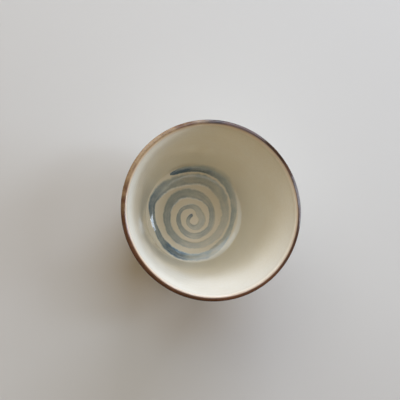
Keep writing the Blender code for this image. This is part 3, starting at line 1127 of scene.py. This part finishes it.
class SOBACHOKO_OT_brushed_spiral(bpy.types.Operator):
    """Brush the spiral on the glazed floor, from its middle outwards"""

    bl_idname = "soba_choko.brushed_spiral"
    bl_label = "Brush the spiral"

    def execute(self, context):
        shape = context.scene.soba_choko_shape
        path, stroke_length = brush_path(STROKE_COLUMNS)
        bpy.ops.object.select_all(action="DESELECT")
        bpy.ops.mesh.primitive_grid_add(
            x_subdivisions=STROKE_COLUMNS, y_subdivisions=STROKE_ROWS, size=1.0, location=(0, 0, 0)
        )
        piece = context.object
        piece.name = "cup_brushed_spiral"
        piece.data.name = piece.name
        crown = piece.vertex_groups.new(name="crown")
        loads = []
        washes = []
        for vertex in piece.data.vertices:
            place, left, half, load, wash = path[round((vertex.co.x + 0.5) * STROKE_COLUMNS)]
            across = 2 * vertex.co.y
            spot = place + left * (half * across)
            loads.append(max(load, 0.0))
            washes.append(min(max(wash, 0.0), 1.0))
            crown.add([vertex.index], 1 - across**8, "REPLACE")
            vertex.co = (spot.x, spot.y, shape.lip_height)
        store_values(piece, "load", loads)
        store_values(piece, "wash", washes)
        lay = piece.modifiers.new("Lie on the glaze", "SHRINKWRAP")
        lay.target = bpy.data.objects["cup_inner_glaze"]
        lay.wrap_method = "PROJECT"
        lay.use_project_z = True
        lay.use_negative_direction = True
        lay.use_positive_direction = False
        lay.offset = -SEAT_LIFT
        bpy.ops.object.modifier_apply(modifier=lay.name)
        body = piece.modifiers.new("Body of the pigment", "SOLIDIFY")
        body.thickness = shape.stroke_depth
        body.offset = 1.0
        body.vertex_group = crown.name
        bpy.ops.object.modifier_apply(modifier=body.name)
        material = brushed_material(context.scene.soba_choko_finish, stroke_length)
        place_piece(piece, "brushed_spiral", material)
        return {"FINISHED"}


class SOBACHOKO_OT_stage(bpy.types.Operator):
    """Set the floor, the soft light and the camera"""

    bl_idname = "soba_choko.stage"
    bl_label = "Set the stage"

    def execute(self, context):
        stage = context.scene.soba_choko_stage
        self.lay_floor(stage)
        self.light(context, stage)
        self.aim_camera(context, stage)
        context.scene.view_settings.view_transform = "Standard"
        return {"FINISHED"}

    def lay_floor(self, stage):
        bpy.ops.object.select_all(action="DESELECT")
        bpy.ops.mesh.primitive_plane_add(size=TABLE_SIZE, location=(0, 0, 0))
        floor = bpy.context.object
        floor.name = "floor"
        material, tree, shader, place = new_material("pale_floor")
        shade = noise(tree, place, 9.0, 3.0)
        body = mixed(tree, ranged(tree, shade, 0.3, 0.7, 0.0, 0.06), stage.floor_colour, TABLE_SHADE)
        tree.links.new(body, shader.inputs["Base Color"])
        shader.inputs["Roughness"].default_value = TABLE_ROUGHNESS
        floor.data.materials.append(material)

    def light(self, context, stage):
        for name, turn, rise, size in LAMPS:
            power = getattr(stage, f"{name}_power")
            colour = getattr(stage, f"{name}_colour")
            self.add_lamp(name, turn, rise, size, power, colour)
        world = bpy.data.worlds.new("even_fill")
        world.use_nodes = True
        background = world.node_tree.nodes["Background"]
        background.inputs["Color"].default_value = stage.fill_colour
        background.inputs["Strength"].default_value = stage.fill_strength
        context.scene.world = world

    def add_lamp(self, name, turn, rise, size, power, colour):
        """A soft rectangular lamp, this many degrees round from +X and above the table."""
        turn, rise = math.radians(turn), math.radians(rise)
        way = Vector((math.cos(turn) * math.cos(rise), math.sin(turn) * math.cos(rise), math.sin(rise)))
        bpy.ops.object.light_add(type="AREA", location=LAMP_AIM + way * LAMP_DISTANCE)
        lamp = bpy.context.object
        lamp.name = name
        lamp.data.shape = "RECTANGLE"
        lamp.data.size, lamp.data.size_y = size
        lamp.data.energy = power
        lamp.data.color = colour
        lamp.rotation_euler = way.to_track_quat("Z", "Y").to_euler()

    def aim_camera(self, context, stage):
        mouth = Vector((0.0, 0.0, context.scene.soba_choko_shape.lip_height + MOUTH_ABOVE_CLAY))
        aside, below = -math.sin(stage.camera_left), -math.sin(stage.camera_down)
        way = Vector((aside, below, math.sqrt(1 - aside**2 - below**2)))
        bpy.ops.object.camera_add(location=mouth + way * stage.camera_distance)
        camera = context.object
        camera.name = "camera"
        aim = mouth + CAMERA_AIM
        back = (camera.location - aim).normalized()
        right = Vector((0.0, 1.0, 0.0)).cross(back).normalized()
        up = back.cross(right)
        camera.rotation_euler = Matrix((right, up, back)).transposed().to_euler()
        camera.data.sensor_width = SENSOR_WIDTH
        camera.data.lens = stage.camera_lens
        context.scene.camera = camera


class SOBACHOKO_PT_panel(bpy.types.Panel):
    """Steps of making the cup"""

    bl_idname = "SOBACHOKO_PT_panel"
    bl_label = "Soba choko"
    bl_space_type = "VIEW_3D"
    bl_region_type = "UI"
    bl_category = "Soba choko"

    def draw(self, context):
        for step in STEPS:
            self.layout.operator(step.bl_idname)
        for group in ("soba_choko_shape", "soba_choko_finish", "soba_choko_stage"):
            settings = getattr(context.scene, group)
            box = self.layout.box()
            for name in settings.bl_rna.properties.keys():
                if name not in ("rna_type", "name"):
                    box.prop(settings, name)


SETTINGS = (SobaChokoShape, SobaChokoFinish, SobaChokoStage)
STEPS = (
    SOBACHOKO_OT_clay_body,
    SOBACHOKO_OT_inner_glaze,
    SOBACHOKO_OT_outer_glaze,
    SOBACHOKO_OT_foot_well_glaze,
    SOBACHOKO_OT_iron_rim_band,
    SOBACHOKO_OT_brushed_spiral,
    SOBACHOKO_OT_stage,
)


def register():
    for kind in (*SETTINGS, *STEPS, SOBACHOKO_PT_panel):
        bpy.utils.register_class(kind)
    bpy.types.Scene.soba_choko_shape = PointerProperty(type=SobaChokoShape)
    bpy.types.Scene.soba_choko_finish = PointerProperty(type=SobaChokoFinish)
    bpy.types.Scene.soba_choko_stage = PointerProperty(type=SobaChokoStage)


def unregister():
    del bpy.types.Scene.soba_choko_stage
    del bpy.types.Scene.soba_choko_finish
    del bpy.types.Scene.soba_choko_shape
    for kind in reversed((*SETTINGS, *STEPS, SOBACHOKO_PT_panel)):
        bpy.utils.unregister_class(kind)


def main():
    register()
    bpy.ops.soba_choko.clay_body()
    bpy.ops.soba_choko.inner_glaze()
    bpy.ops.soba_choko.outer_glaze()
    bpy.ops.soba_choko.foot_well_glaze()
    bpy.ops.soba_choko.iron_rim_band()
    bpy.ops.soba_choko.brushed_spiral()
    bpy.ops.soba_choko.stage()


if __name__ == "__main__":
    main()
